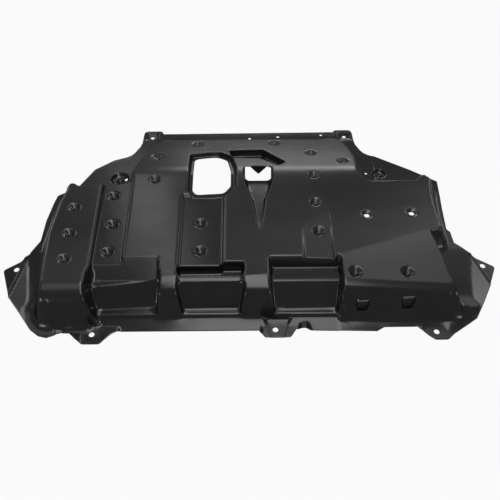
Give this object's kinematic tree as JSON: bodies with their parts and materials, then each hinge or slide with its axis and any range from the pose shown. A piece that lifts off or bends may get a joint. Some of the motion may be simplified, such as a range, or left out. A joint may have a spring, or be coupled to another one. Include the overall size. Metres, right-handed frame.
{
  "type": "engine splash shield",
  "caption": "Moulded black plastic engine splash shield with drawn panels, front air pockets, flush duct, access window and fixing tabs.",
  "frame": {"origin": "centre of the shield's bounding box, on the floor it rests on", "axes": "+X across the vehicle along the long side, +Y towards the vehicle's rear, +Z out of the road side, up as it lies"},
  "size_m": [1.0524, 0.616, 0.1011],
  "materials": {
    "black_plastic": "semi-gloss, lightly grained"
  },
  "bodies": {
    "root": {"splash_shield": "black_plastic"}
  },
  "joints": []
}
